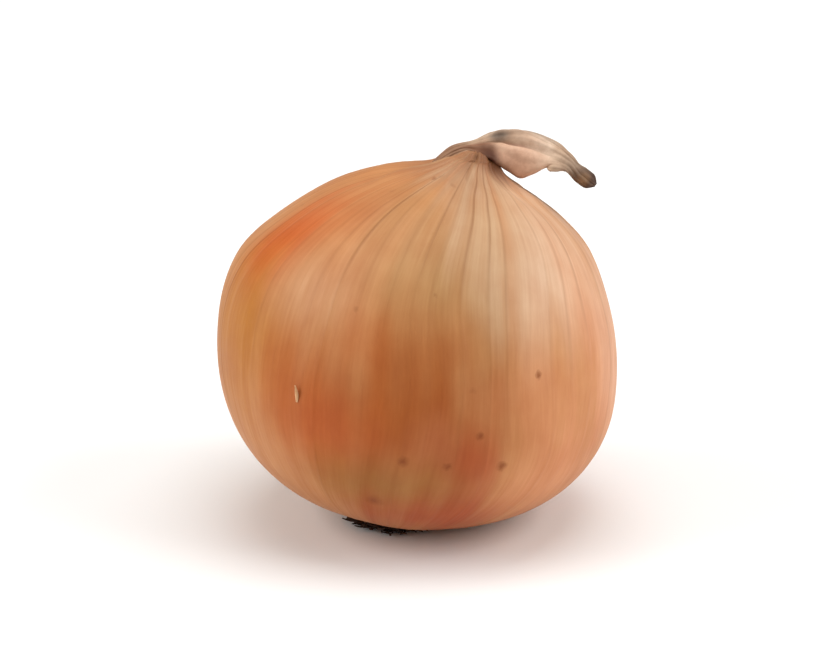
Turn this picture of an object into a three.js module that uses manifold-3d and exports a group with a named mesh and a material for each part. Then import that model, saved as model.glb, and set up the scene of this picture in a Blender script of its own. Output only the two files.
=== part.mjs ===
// A brown onion as picked and cured: a round bulb in its papery skin, the withered leaf
// that folds over at the neck, and the root plate with its dry rootlets.
// Millimetres, +Z up. The onion leans as it lies on a table, and the origin is the
// middle of the small flat spot that it rests on. +X is the side the leaf falls to,
// and +Y is the side the bulb leans back to.

import * as THREE from "three";
import { mergeVertices } from "three/addons/utils/BufferGeometryUtils.js";
import Module from "manifold-3d";

const wasm = await Module();
wasm.setup();

// Driving dimensions

const BULB_RADIUS = 38; // at the widest ring
const BULB_DEPTH = 31.7; // from the widest ring down to the root end
const BULB_RISE = 35.8; // from the widest ring up to where the shoulder would close
const ROUNDNESS = 2.2; // exponent of the body's outline, a little squarer than an ellipse
const LEAN_BACK = THREE.MathUtils.degToRad(8);
const LEAN_RIGHT = THREE.MathUtils.degToRad(8);
const FLAT_DEPTH = 1.3; // how much the resting spot takes off the round bulb

const SHOULDER_RADIUS = 19.5; // where the body's outline turns into the neck's
const NECK_RADIUS = 3.9;
const NECK_TOP = 40.5; // above the widest ring
const NECK_SHIFT = { x: 5.6, y: 0.8 }; // the neck stands off the bulb's own axis
const NECK_SHIFT_FROM = 15; // above the widest ring, where that shift begins
const BOW = 0.8; // the centre line bows to the left above the widest ring, right below it

const RIB_COUNT = 46; // raised veins that run from the root end to the neck
const RIB_HEIGHT = 0.32;
const RIB_HALF_WIDTH = 0.26; // as a share of the spacing between two veins
const RIB_JITTER = 0.42; // how unevenly the veins are spaced, as a share of the spacing
const RIBS_FADE = { end: 9, start: 17 }; // radii between which the veins die away
const PLEAT_DEPTH = 0.17; // folds of the gathered skin, as a share of the neck's radius
const PLEATS_GROW = { end: 5, start: 21 }; // radii between which the skin gathers
const NECK_TWIST = THREE.MathUtils.degToRad(20);

const PLATE_RADIUS = 5.7; // the corky disc that the roots grow from
const PLATE_SWELL = 1.1; // how far it stands out of the bulb's root end
const SOCKET_RADIUS = 6.5; // the dent in the bulb that holds the disc
const SOCKET_LIP = 0.9; // the rounded edge of that dent
const SOCKET_DEPTH = 1.5;
const ROOTLET_COUNT = 44;
const ROOTLET_LENGTH = 8;
const SHORTEST_ROOTLET = 0.25; // as a share of that length, under the bulb's weight
const ROOTLET_RADIUS = 0.42;

const LEAF_THICKNESS = 0.75;
const TIP_THICKNESS = 1.15; // the tip shrivels into a thicker strip
const LEAF_CREASE = 0.35; // height of the long creases
const LEAF_RUFFLE = 0.45; // height of the waves along its edges
const FIT_GAP = 0.3; // between two pieces that touch on the real onion
const TABLE_GAP = 0.25; // the rootlets stay this far above the table

const SOCKET_ROWS = 6; // how finely each stretch of the bulb's outline is divided
const BODY_ROWS = 26;
const NECK_ROWS = 9;
const LEAF_ROWS = 44;
const LEAF_COLUMNS = 15;
const RIB_SEED = 7;
const ROOT_SEED = 21;

// Helpers

// A small seeded generator of numbers from 0 to 1, so that every build is the same.
function seeded(seed) {
  let state = seed;
  return () => {
    state = (state * 1664525 + 1013904223) % 4294967296;
    return state / 4294967296;
  };
}

const smooth = (low, high, value) => THREE.MathUtils.smoothstep(value, low, high);

// A grid of points joined into triangles. wrap closes it in its second direction.
function gridIndex(rows, columns, wrap, start = 0, flip = false) {
  const index = [];
  const last = wrap ? columns : columns - 1;
  for (let i = 0; i < rows - 1; i++) {
    for (let j = 0; j < last; j++) {
      const a = start + i * columns + j;
      const b = start + i * columns + ((j + 1) % columns);
      const c = a + columns;
      const d = b + columns;
      index.push(...(flip ? [a, c, b, b, c, d] : [a, b, c, b, d, c]));
    }
  }
  return index;
}

function geometryOf(points, index) {
  const geometry = new THREE.BufferGeometry().setFromPoints(points);
  geometry.setIndex(index);
  return geometry;
}

// A closed three.js geometry as a manifold-3d solid.
function solidOf(geometry) {
  const bare = geometry.clone();
  bare.deleteAttribute("normal");
  bare.deleteAttribute("uv");
  const merged = mergeVertices(bare, 1e-4);
  return new wasm.Manifold(
    new wasm.Mesh({
      numProp: 3,
      vertProperties: merged.attributes.position.array,
      triVerts: new Uint32Array(merged.index.array),
    }),
  );
}

// The largest body of a solid as a three.js geometry. Loose scraps of a cut are dropped.
function geometryFrom(solid) {
  const bodies = solid.decompose().sort((a, b) => b.volume() - a.volume());
  const mesh = bodies[0].getMesh();
  const geometry = new THREE.BufferGeometry();
  geometry.setAttribute("position", new THREE.BufferAttribute(mesh.vertProperties, 3));
  geometry.setIndex(new THREE.BufferAttribute(mesh.triVerts, 1));
  geometry.computeVertexNormals();
  return geometry;
}

// The bulb

// The body's radius and height at an angle from the widest ring, on a superellipse.
function bodyOutline(angle) {
  const power = 2 / ROUNDNESS;
  const height = Math.sin(angle) < 0 ? -BULB_DEPTH : BULB_RISE;
  return new THREE.Vector2(
    BULB_RADIUS * Math.cos(angle) ** power,
    height * Math.abs(Math.sin(angle)) ** power,
  );
}

// The angle at which the body's outline has a given radius.
const bodyAngle = (radius) => Math.acos((radius / BULB_RADIUS) ** (ROUNDNESS / 2));

// Where the body's outline meets the lip of the root plate's socket.
const rimAngle = -bodyAngle(SOCKET_RADIUS + SOCKET_LIP);
const rim = bodyOutline(rimAngle);

// The outline from the socket of the root plate, over the body, to the top of the neck.
function bulbOutline() {
  const floor = rim.y + SOCKET_DEPTH;
  const socket = new THREE.SplineCurve([
    new THREE.Vector2(0, floor),
    new THREE.Vector2(SOCKET_RADIUS - 1.4, floor - 0.1),
    new THREE.Vector2(SOCKET_RADIUS - 0.2, floor - 0.75),
    new THREE.Vector2(SOCKET_RADIUS + 0.2, rim.y + 0.25),
    rim,
  ]);
  const shoulderAngle = bodyAngle(SHOULDER_RADIUS);
  const shoulder = bodyOutline(shoulderAngle);
  const along = shoulder.clone().sub(bodyOutline(shoulderAngle - 0.02)).normalize();
  const neck = new THREE.CubicBezierCurve(
    shoulder,
    shoulder.clone().addScaledVector(along, 11),
    new THREE.Vector2(NECK_RADIUS + 0.7, NECK_TOP - 2.6),
    new THREE.Vector2(NECK_RADIUS, NECK_TOP - 0.4),
  );
  const bodyPoints = [];
  for (let i = 1; i < BODY_ROWS; i++) {
    const share = i / BODY_ROWS;
    bodyPoints.push(bodyOutline(THREE.MathUtils.lerp(rimAngle, shoulderAngle, share)));
  }
  return [
    ...socket.getPoints(SOCKET_ROWS),
    ...bodyPoints,
    ...neck.getPoints(NECK_ROWS),
    new THREE.Vector2(NECK_RADIUS * 0.62, NECK_TOP),
    new THREE.Vector2(0, NECK_TOP + 0.15),
  ];
}

// The angles of the veins round the axis. They are spaced unevenly, as they grow.
function ribAngles() {
  const random = seeded(RIB_SEED);
  return Array.from(
    { length: RIB_COUNT },
    (_, i) => ((i + RIB_JITTER * (random() - 0.5)) / RIB_COUNT) * 2 * Math.PI,
  );
}

// Three columns for each vein: its two feet and its crest, with how high each stands.
function ribColumns() {
  const half = (RIB_HALF_WIDTH * 2 * Math.PI) / RIB_COUNT;
  return ribAngles().flatMap((angle) => [
    { angle: angle - half, height: 0 },
    { angle, height: 1 },
    { angle: angle + half, height: 0 },
  ]);
}

// The folds of the gathered skin round the neck, from -1 to 1.
function pleat(angle, twist) {
  const turned = angle + twist;
  const broad = 0.55 * Math.cos(8 * turned + 0.6);
  return broad + 0.45 * Math.cos(13 * turned + 2.1 + 0.5 * Math.sin(turned));
}

// The slow lopsidedness of a grown bulb, as a share of its radius.
const lopsided = (angle) =>
  0.006 * Math.cos(2 * angle + 0.9) + 0.006 * Math.cos(3 * angle - 0.4);

// How far the bulb's centre line stands off its axis at a height above the widest ring.
function centreLine(height) {
  const span = NECK_TOP - NECK_SHIFT_FROM;
  const share = Math.max(0, (height - NECK_SHIFT_FROM) / span) ** 2;
  const bow = -BOW * Math.sin((Math.PI * height) / BULB_DEPTH);
  return new THREE.Vector2(bow + NECK_SHIFT.x * share, NECK_SHIFT.y * share);
}

// The bulb's surface, grown outwards by a clearance. Each outline point is moved along
// the outline's normal by the vein relief, and round the neck by the pleats.
function bulbGeometry(clearance = 0) {
  const outline = bulbOutline();
  const columns = ribColumns();
  const points = [];
  const rows = outline.length;
  for (let i = 1; i < rows - 1; i++) {
    const { x: radius, y: height } = outline[i];
    const tangent = outline[i + 1].clone().sub(outline[i - 1]).normalize();
    const normal = new THREE.Vector2(tangent.y, -tangent.x);
    const onBody = smooth(RIBS_FADE.end, RIBS_FADE.start, radius);
    const gathered = 1 - smooth(PLEATS_GROW.end, PLEATS_GROW.start, radius);
    const onNeck = height > 0 ? gathered : 0;
    const shift = centreLine(height);
    for (const { angle, height: crest } of columns) {
      const twist = NECK_TWIST * onNeck;
      const relief = RIB_HEIGHT * crest * onBody + clearance;
      const fold = PLEAT_DEPTH * onNeck * pleat(angle, twist);
      const grown = radius * (1 + lopsided(angle) + fold) + normal.x * relief;
      points.push(
        new THREE.Vector3(
          shift.x + grown * Math.cos(angle),
          shift.y + grown * Math.sin(angle),
          height + normal.y * relief,
        ),
      );
    }
  }
  const count = columns.length;
  const index = gridIndex(rows - 2, count, true);
  const bottom = points.length;
  const top = bottom + 1;
  points.push(new THREE.Vector3(0, 0, outline[0].y - clearance));
  const crown = centreLine(outline[rows - 1].y);
  points.push(new THREE.Vector3(crown.x, crown.y, outline[rows - 1].y + clearance));
  const lastRow = (rows - 3) * count;
  for (let j = 0; j < count; j++) {
    const next = (j + 1) % count;
    index.push(bottom, next, j);
    index.push(top, lastRow + j, lastRow + next);
  }
  return geometryOf(points, index);
}

// The root plate and its rootlets

// The corky disc in the bulb's socket, swelling a little out of the root end.
function plateGeometry() {
  const floor = rim.y + SOCKET_DEPTH - FIT_GAP;
  const profile = new THREE.SplineCurve([
    new THREE.Vector2(0, rim.y - PLATE_SWELL),
    new THREE.Vector2(PLATE_RADIUS * 0.5, rim.y - PLATE_SWELL * 0.85),
    new THREE.Vector2(PLATE_RADIUS * 0.92, rim.y - PLATE_SWELL * 0.25),
    new THREE.Vector2(PLATE_RADIUS, rim.y + 0.25),
    new THREE.Vector2(PLATE_RADIUS * 0.9, floor - 0.75),
    new THREE.Vector2(PLATE_RADIUS * 0.72, floor - 0.2),
    new THREE.Vector2(0, floor),
  ]);
  const points = profile.getPoints(12);
  points[0].x = 0;
  points[points.length - 1].x = 0;
  const lathe = new THREE.LatheGeometry(points, 30);
  return lathe.rotateX(Math.PI / 2);
}

// One dry rootlet: a tapered three-sided tube along a bowed line out of the disc.
function rootletGeometry(start, direction, length, droop, sway) {
  const side = new THREE.Vector3(-direction.y, direction.x, 0).normalize();
  const curve = new THREE.QuadraticBezierCurve3(
    start,
    start.clone().addScaledVector(direction, length * 0.55),
    start
      .clone()
      .addScaledVector(direction, length)
      .addScaledVector(side, sway)
      .add(new THREE.Vector3(0, 0, droop)),
  );
  const steps = 4;
  const sides = 3;
  const points = [];
  for (let i = 0; i <= steps; i++) {
    const t = i / steps;
    const centre = curve.getPoint(t);
    const tangent = curve.getTangent(t);
    const across = new THREE.Vector3(0, 0, 1).cross(tangent).normalize();
    const up = tangent.clone().cross(across);
    const radius = ROOTLET_RADIUS * (1 - 0.55 * t);
    for (let j = 0; j < sides; j++) {
      const turn = (j / sides) * 2 * Math.PI;
      points.push(
        centre
          .clone()
          .addScaledVector(across, radius * Math.cos(turn))
          .addScaledVector(up, radius * Math.sin(turn)),
      );
    }
  }
  const last = steps * sides;
  const index = gridIndex(steps + 1, sides, true);
  index.push(0, 2, 1, last, last + 1, last + 2);
  return geometryOf(points, index);
}

// The disc with its rootlets. They spread over the root end in rings, and are shorter
// on the side that the onion leans to, where the bulb meets the table.
function rootSolid() {
  const random = seeded(ROOT_SEED);
  const leanAngle = Math.atan2(LEAN_BACK, LEAN_RIGHT);
  const pieces = [solidOf(plateGeometry())];
  const goldenTurn = Math.PI * (3 - Math.sqrt(5));
  for (let i = 0; i < ROOTLET_COUNT; i++) {
    const angle = i * goldenTurn;
    const ring = PLATE_RADIUS * (0.3 + 0.6 * Math.sqrt((i + 0.5) / ROOTLET_COUNT));
    const away = 0.5 - 0.5 * Math.cos(angle - leanAngle);
    const share = SHORTEST_ROOTLET + (1 - SHORTEST_ROOTLET) * away;
    const length = ROOTLET_LENGTH * share * (0.7 + 0.5 * random());
    const spread = angle + 0.9 * (random() - 0.5);
    const start = new THREE.Vector3(
      ring * Math.cos(angle),
      ring * Math.sin(angle),
      rim.y - PLATE_SWELL * 0.3,
    );
    const direction = new THREE.Vector3(
      Math.cos(spread),
      Math.sin(spread),
      0.02 - 0.14 * away * random(),
    ).normalize();
    const droop = -0.5 * away * random();
    const sway = 2.2 * (random() - 0.5);
    pieces.push(solidOf(rootletGeometry(start, direction, length, droop, sway)));
  }
  return wasm.Manifold.union(pieces);
}

// The withered leaf

// Three rails carry the leaf from the neck to its tip: the near edge, the ridge on the
// outside of the bend, and the far edge. Each point is [x, y, z] from the bulb's centre.
const LEAF_NEAR_EDGE = [
  [-0.6, 0.6, 38.1],
  [3.2, 0.1, 40.6],
  [7.2, -1.6, 41.6],
  [10.4, -3.6, 40.2],
  [13.4, -4.6, 38.4],
  [17.0, -4.7, 38.4],
  [20.6, -4.0, 39.6],
  [24.2, -2.5, 39.2],
  [28.4, -1.4, 37.3],
];
const LEAF_RIDGE = [
  [-2.0, 2.6, 36.8],
  [1.2, 2.5, 39.8],
  [5.2, 2.2, 42.0],
  [9.6, 1.7, 44.0],
  [14.4, 1.2, 45.0],
  [19.2, 0.6, 43.4],
  [23.4, 0.1, 40.7],
  [26.6, -0.3, 38.4],
  [28.9, -0.6, 37.4],
];
const LEAF_FAR_EDGE = [
  [1.6, 7.4, 35.6],
  [4.8, 7.6, 38.2],
  [8.6, 7.2, 39.4],
  [12.8, 6.4, 39.8],
  [16.8, 5.4, 40.0],
  [20.6, 4.1, 40.0],
  [23.8, 2.7, 39.2],
  [26.4, 1.2, 38.0],
  [28.6, 0.3, 37.2],
];

const railCurve = (points) =>
  new THREE.CatmullRomCurve3(points.map((p) => new THREE.Vector3(...p)));

// A point of the leaf: across runs from -1 at the near edge, through 0 on the ridge, to
// 1 at the far edge. The section is a parabola through the rails, with small creases.
function leafPoint(rails, along, across) {
  const [near, ridge, far] = rails.map((rail) => rail.getPoint(along));
  const half = far.clone().sub(near).multiplyScalar(0.5);
  const sag = far.clone().add(near).multiplyScalar(0.5).sub(ridge);
  const point = ridge
    .clone()
    .addScaledVector(half, across)
    .addScaledVector(sag, Math.abs(across) ** 1.7);
  const edge = smooth(0.45, 1, Math.abs(across));
  const middle = Math.sin(Math.PI * along);
  point.z += LEAF_CREASE * middle * Math.cos(11 * across + 5 * along);
  point.z += LEAF_RUFFLE * edge * middle * Math.sin(26 * along + 2 * Math.sign(across));
  return point;
}

// The leaf as a closed sheet: its two faces lie half a thickness off the middle surface,
// and its border joins them.
function leafGeometry() {
  const rails = [LEAF_NEAR_EDGE, LEAF_RIDGE, LEAF_FAR_EDGE].map(railCurve);
  const outer = [];
  const inner = [];
  const step = 1e-3;
  for (let i = 0; i < LEAF_ROWS; i++) {
    const along = i / (LEAF_ROWS - 1);
    for (let j = 0; j < LEAF_COLUMNS; j++) {
      const across = (2 * j) / (LEAF_COLUMNS - 1) - 1;
      const point = leafPoint(rails, along, across);
      const before = leafPoint(rails, Math.max(0, along - step), across);
      const after = leafPoint(rails, Math.min(1, along + step), across);
      const left = leafPoint(rails, along, across - step);
      const right = leafPoint(rails, along, across + step);
      const normal = right.sub(left).cross(after.sub(before)).normalize().negate();
      const shrivelled = smooth(0.85, 1, along);
      const half = THREE.MathUtils.lerp(LEAF_THICKNESS, TIP_THICKNESS, shrivelled) / 2;
      outer.push(point.clone().addScaledVector(normal, half));
      inner.push(point.clone().addScaledVector(normal, -half));
    }
  }
  const count = outer.length;
  const index = [
    ...gridIndex(LEAF_ROWS, LEAF_COLUMNS, false, 0, true),
    ...gridIndex(LEAF_ROWS, LEAF_COLUMNS, false, count, false),
  ];
  const border = [];
  for (let j = 0; j < LEAF_COLUMNS - 1; j++) border.push(j);
  for (let i = 0; i < LEAF_ROWS - 1; i++) border.push((i + 1) * LEAF_COLUMNS - 1);
  for (let j = LEAF_COLUMNS - 1; j > 0; j--) border.push((LEAF_ROWS - 1) * LEAF_COLUMNS + j);
  for (let i = LEAF_ROWS - 1; i > 0; i--) border.push(i * LEAF_COLUMNS);
  border.forEach((a, k) => {
    const b = border[(k + 1) % border.length];
    index.push(a, b, a + count, b, b + count, a + count);
  });
  return geometryOf([...outer, ...inner], index);
}

// The whole onion, leaning on its flat spot

const skin = new THREE.MeshStandardMaterial({ color: 0xd2935f, roughness: 0.42 });
const driedLeaf = new THREE.MeshStandardMaterial({ color: 0xbf9a80, roughness: 0.8 });
const dryRoot = new THREE.MeshStandardMaterial({ color: 0x4a3222, roughness: 0.9 });

const onion = new THREE.Group();
onion.rotation.set(-LEAN_BACK, LEAN_RIGHT, 0);
onion.updateMatrix();

// The table's height and the resting spot's middle, from the lowest part of the bulb.
const wholeBulb = bulbGeometry();
const leaning = wholeBulb.clone().applyMatrix4(onion.matrix).attributes.position;
let lowest = Infinity;
for (let i = 0; i < leaning.count; i++) lowest = Math.min(lowest, leaning.getZ(i));
const tableHeight = lowest + FLAT_DEPTH;
const spot = new THREE.Box2();
for (let i = 0; i < leaning.count; i++) {
  if (leaning.getZ(i) < tableHeight) {
    spot.expandByPoint(new THREE.Vector2(leaning.getX(i), leaning.getY(i)));
  }
}
const spotMiddle = spot.getCenter(new THREE.Vector2());
onion.position.set(-spotMiddle.x, -spotMiddle.y, -tableHeight);
onion.updateMatrixWorld(true);

// A slab that fills the space under a height, in the leaning onion's own frame.
function tableSlab(height) {
  const slab = new THREE.BoxGeometry(200, 200, 40).translate(0, 0, height - 20);
  return solidOf(slab.applyMatrix4(onion.matrixWorld.clone().invert()));
}

const clearOfBulb = solidOf(bulbGeometry(FIT_GAP));
const bulbSolid = solidOf(wholeBulb).subtract(tableSlab(0));
const leafSolid = solidOf(leafGeometry()).subtract(clearOfBulb);
const rootsSolid = rootSolid().subtract(clearOfBulb).subtract(tableSlab(TABLE_GAP));

const parts = [
  ["bulb", bulbSolid, skin],
  ["withered_leaf", leafSolid, driedLeaf],
  ["root_plate", rootsSolid, dryRoot],
];
for (const [name, solid, material] of parts) {
  const mesh = new THREE.Mesh(geometryFrom(solid), material);
  mesh.name = name;
  onion.add(mesh);
}

const group = new THREE.Group();
group.add(onion);

export default group;
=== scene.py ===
# %% [markdown]
# # A cured brown onion
# An onion bulb is a stack of swollen leaf bases. When it is cured, the outermost ones dry
# to a satin, papery skin. Their veins run from the root end to the neck, where the dried
# leaf tops are gathered, wither and fold over. At the other end sits a small corky disc
# with a tuft of dry rootlets.
#
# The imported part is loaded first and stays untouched. Every piece made here lies in the
# same frame, in metres, and stands for one of its solids.

# %% Load the frame
import math

import bpy
import numpy as np
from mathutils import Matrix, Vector


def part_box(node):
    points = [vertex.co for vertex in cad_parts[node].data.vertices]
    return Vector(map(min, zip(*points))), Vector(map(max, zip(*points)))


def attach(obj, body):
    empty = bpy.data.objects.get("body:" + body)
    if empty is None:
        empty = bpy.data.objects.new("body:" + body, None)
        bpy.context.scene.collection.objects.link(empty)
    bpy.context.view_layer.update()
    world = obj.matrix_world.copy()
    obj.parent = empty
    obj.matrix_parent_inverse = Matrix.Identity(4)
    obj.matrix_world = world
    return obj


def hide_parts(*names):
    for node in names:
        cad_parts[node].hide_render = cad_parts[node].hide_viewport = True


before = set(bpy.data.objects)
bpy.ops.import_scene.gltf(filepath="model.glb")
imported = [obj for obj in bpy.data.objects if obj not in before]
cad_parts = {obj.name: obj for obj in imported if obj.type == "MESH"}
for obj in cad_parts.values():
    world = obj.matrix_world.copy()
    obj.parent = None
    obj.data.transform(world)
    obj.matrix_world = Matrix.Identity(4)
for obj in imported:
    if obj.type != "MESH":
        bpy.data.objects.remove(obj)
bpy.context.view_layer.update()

MM = 0.001
print("nodes:", sorted(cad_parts))

# %% [markdown]
# ## Small tools
# Three tools are enough for all the shapes: a soft step from 0 to 1, a smooth curve through
# a few points, and a list of seeded draws, so that every run gives the same onion.

# %% Soft steps, curves and seeded draws
def soft_step(low, high, value):
    """0 below low, 1 above high, and a cubic ease between them."""
    t = np.clip((value - low) / (high - low), 0, 1)
    return t * t * (3 - 2 * t)


def unit(vectors):
    """Vectors brought to length 1."""
    return vectors / np.linalg.norm(vectors, axis=-1, keepdims=True)


def curve_through(points, at):
    """A Catmull-Rom curve: between two points, a cubic whose slope at each of them is half
    the step between its neighbours. at runs from 0 at the first point to 1 at the last."""
    points = np.asarray(points, float)
    ends = [2 * points[0] - points[1], 2 * points[-1] - points[-2]]
    padded = np.vstack([ends[:1], points, ends[1:]])
    place = np.clip(at, 0, 1) * (len(points) - 1)
    first = np.minimum(place.astype(int), len(points) - 2)
    t = (place - first)[..., None]
    a, b, c, d = (padded[first + k] for k in range(4))
    slope_b, slope_c = (c - a) / 2, (d - b) / 2
    return (
        (2 * t**3 - 3 * t**2 + 1) * b
        + (t**3 - 2 * t**2 + t) * slope_b
        + (3 * t**2 - 2 * t**3) * c
        + (t**3 - t**2) * slope_c
    )


def seeded_draws(seed, count):
    """Numbers from 0 to 1 by the rule next = 1664525 x last + 1013904223, modulo 2^32."""
    state, draws = seed, []
    for _ in range(count):
        state = (state * 1664525 + 1013904223) % 2**32
        draws.append(state / 2**32)
    return np.array(draws)


print("first draws:", seeded_draws(7, 3).round(3))

# %% [markdown]
# ## The bulb's outline
# Cut through the axis, the bulb is a superellipse, a little squarer than an ellipse. Near
# the top it turns over into a cone that rises to the neck, and at the bottom a shallow
# dent holds the root plate. A squashed sphere would be quicker, but it has neither the
# full cheeks nor the neck. These are the same sizes, in millimetres, as the solids have,
# so that the fine surface lies on the plain one.

# %% Sizes of the bulb
BULB_RADIUS = 38
BULB_DEPTH = 31.7
BULB_RISE = 35.8
ROUNDNESS = 2.2
SHOULDER_RADIUS = 19.5
NECK_RADIUS = 3.9
NECK_TOP = 40.5
SOCKET_RADIUS = 6.5
SOCKET_LIP = 0.9
SOCKET_DEPTH = 1.5


# %% The outline as a line of points
def body_outline(angle):
    """Radius and height on a superellipse: cosine and sine of the angle from the widest
    ring, each to the power 2 / ROUNDNESS."""
    power = 2 / ROUNDNESS
    rise = np.where(angle < 0, -BULB_DEPTH, BULB_RISE)
    radius = BULB_RADIUS * np.cos(angle) ** power
    return np.stack([radius, rise * np.abs(np.sin(angle)) ** power], -1)


def body_angle(radius):
    """The angle at which the body has a given radius."""
    return math.acos((radius / BULB_RADIUS) ** (ROUNDNESS / 2))


RIM_ANGLE = -body_angle(SOCKET_RADIUS + SOCKET_LIP)
RIM = body_outline(np.array(RIM_ANGLE))


def bulb_outline():
    """The root socket as a curve through five points, the body as a superellipse, the neck
    as a cubic Bezier that leaves the shoulder along its slope, and a small crown."""
    floor = RIM[1] + SOCKET_DEPTH
    socket_points = [
        (0, floor),
        (SOCKET_RADIUS - 1.4, floor - 0.1),
        (SOCKET_RADIUS - 0.2, floor - 0.75),
        (SOCKET_RADIUS + 0.2, RIM[1] + 0.25),
        RIM,
    ]
    socket = curve_through(socket_points, np.linspace(0, 1, 80))
    shoulder_angle = body_angle(SHOULDER_RADIUS)
    body = body_outline(np.linspace(RIM_ANGLE, shoulder_angle, 800))
    slope = (body[-1] - body[-2]) / np.linalg.norm(body[-1] - body[-2])
    t = np.linspace(0, 1, 300)[:, None]
    corners = [body[-1], body[-1] + 11 * slope,
               np.array([NECK_RADIUS + 0.7, NECK_TOP - 2.6]),
               np.array([NECK_RADIUS, NECK_TOP - 0.4])]
    weights = [(1 - t) ** 3, 3 * t * (1 - t) ** 2, 3 * t**2 * (1 - t), t**3]
    neck = sum(w * corner for w, corner in zip(weights, corners))
    crown = np.array([[NECK_RADIUS * 0.62, NECK_TOP], [0, NECK_TOP + 0.15]])
    return np.vstack([socket[:-1], body[:-1], neck, crown])


outline = bulb_outline()
print("outline points:", len(outline), "height in mm:", round(np.ptp(outline[:, 1]), 1))

# %% [markdown]
# ## Rows and columns
# The surface is a grid: rows follow the outline from the roots to the neck, and columns go
# round. Veins are thin, so instead of even columns, ten are laid out round each vein, with
# one exactly on its crest. The rows crowd together at the neck, where the skin is
# gathered, and at the roots.

# %% Where the veins run
VEIN_COUNT = 46
VEIN_JITTER = 0.42
VEIN_COLUMNS = np.array([0, 0.045, 0.1, 0.18, 0.31, 0.5, 0.69, 0.82, 0.9, 0.955])
ROWS = 212

vein_place = np.arange(VEIN_COUNT) + VEIN_JITTER * (seeded_draws(7, VEIN_COUNT) - 0.5)
vein_angle = vein_place / VEIN_COUNT * 2 * np.pi
next_angle = np.append(vein_angle[1:], vein_angle[0] + 2 * np.pi)
turn = vein_angle[:, None] + VEIN_COLUMNS * (next_angle - vein_angle)[:, None]
turn = turn.ravel()
off_vein = np.tile(np.minimum(VEIN_COLUMNS, 1 - VEIN_COLUMNS), VEIN_COUNT)
nearest_vein = np.repeat(np.arange(VEIN_COUNT), len(VEIN_COLUMNS))
nearest_vein = (nearest_vein + np.tile(VEIN_COLUMNS > 0.5, VEIN_COUNT)) % VEIN_COUNT
print("columns:", len(turn), "rows:", ROWS)


# %% Rows, crowded at the neck and the roots
def spaced_rows(line, count):
    """Points along the line at even steps of its length, where the length is counted up to
    three times over close to the axis."""
    steps = np.linalg.norm(np.diff(line, axis=0), axis=1)
    crowding = 1 + 2 * (1 - soft_step(5, 22, line[1:, 0]))
    length = np.append(0, np.cumsum(steps * crowding))
    even = np.linspace(0, length[-1], count)
    return np.stack([np.interp(even, length, line[:, k]) for k in range(2)], -1)


row_line = spaced_rows(outline, ROWS)
row_radius, row_height = row_line[:, 0], row_line[:, 1]
slopes = np.gradient(row_line, axis=0)
slopes /= np.linalg.norm(slopes, axis=1)[:, None]
row_normal = np.stack([slopes[:, 1], -slopes[:, 0]], -1)
print("finest row step in mm:", np.linalg.norm(np.diff(row_line, axis=0), axis=1).min().round(2))

# %% [markdown]
# ## The bulb's relief
# The skin has raised veins, slow lumps from the fleshy layers below, broad pleats where it
# is gathered at the neck with sharp small folds on them, and a worn collar round the
# leaf's base. Sculpting could make them too, but a sum of waves and bell curves stays even
# all round and can be changed by one number. Veins and lumps move the skin along the
# outline's normal, pleats scale its distance from the axis, and the collar lifts it. A few
# swells and hollows that only this bulb has, seen in its outline in the photograph, are
# listed one by one. The bulb is also lopsided, its centre line is bowed, and the neck
# stands off the axis.

# %% Veins, lumps and pleats
VEIN_HEIGHT = 0.07  # mm
VEIN_WIDTH = 0.085  # as a share of the way to the next vein
LIP_HEIGHT = 1.6
LIP_WIDTH = 0.9
LIP_DROP = 0.9
PLEAT_DEPTH = 0.16  # as a share of the radius
SHARP_DEPTH = 0.075
NECK_TWIST = math.radians(20)
NECK_SHIFT = (5.6, 0.8)
NECK_SHIFT_FROM = 15  # mm above the widest ring
BOW = 0.8

# Swells and hollows of this bulb: degrees round, height, half width in degrees, half
# height, and how far the skin stands out, in mm.
HAND_SHAPING = [
    (162, 33.5, 50, 4, 0.8),
    (173, 23.5, 45, 6, -0.8),
    (163, 37.4, 50, 1.5, -0.6),
    (20, 36.8, 45, 2.6, -1.1),
    (20, 30.5, 42, 4, -0.7),
    (-25, 39.3, 35, 1.2, 0.5),
]

# The strongest veins in view: degrees round, and the height in mm where each one fades.
SEEN_VEINS = {-118: 10, -91: 18, -82: 14, -70: 12, -48: 22}

vein_strength = 0.1 + 0.45 * seeded_draws(31, VEIN_COUNT) ** 1.5
vein_end = -12 + 26 * seeded_draws(43, VEIN_COUNT)
for degrees, end in SEEN_VEINS.items():
    nearest = np.argmin(np.abs(vein_angle - math.radians(degrees % 360)))
    vein_strength[nearest], vein_end[nearest] = 0.8, end


def vein_relief(radius):
    """A bell curve across each vein, as tall as that vein is strong, and a lower one
    halfway to the next. Both die away at the root end and at the neck."""
    bell = np.exp(-((off_vein / VEIN_WIDTH) ** 2)) * vein_strength[nearest_vein]
    between = 0.3 * np.exp(-(((0.5 - off_vein) / 0.12) ** 2))
    return VEIN_HEIGHT * soft_step(6, 15, radius)[:, None] * (bell + between)


def lumps(angle, height):
    """Slow waves round and along the bulb, less than 0.2 mm high."""
    round_waves = np.sin(5 * angle + 0.07 * height + 1.3) * np.sin(0.11 * height + 2)
    shoulder_waves = np.sin(13 * angle + 2 * np.sin(3 * angle)) * soft_step(8, 24, height)
    return 0.1 * round_waves + 0.07 * shoulder_waves


def hand_shaping(angle, height):
    """The sum of the swells and hollows, each a bell curve round the bulb times a bell
    curve over its height."""
    relief = 0 * angle
    for middle, level, half_width, half_height, size in HAND_SHAPING:
        apart = (angle - math.radians(middle) + math.pi) % (2 * math.pi) - math.pi
        across, along = apart / math.radians(half_width), (height - level) / half_height
        relief = relief + size * np.exp(-(across**2) - along**2)
    return relief


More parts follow.
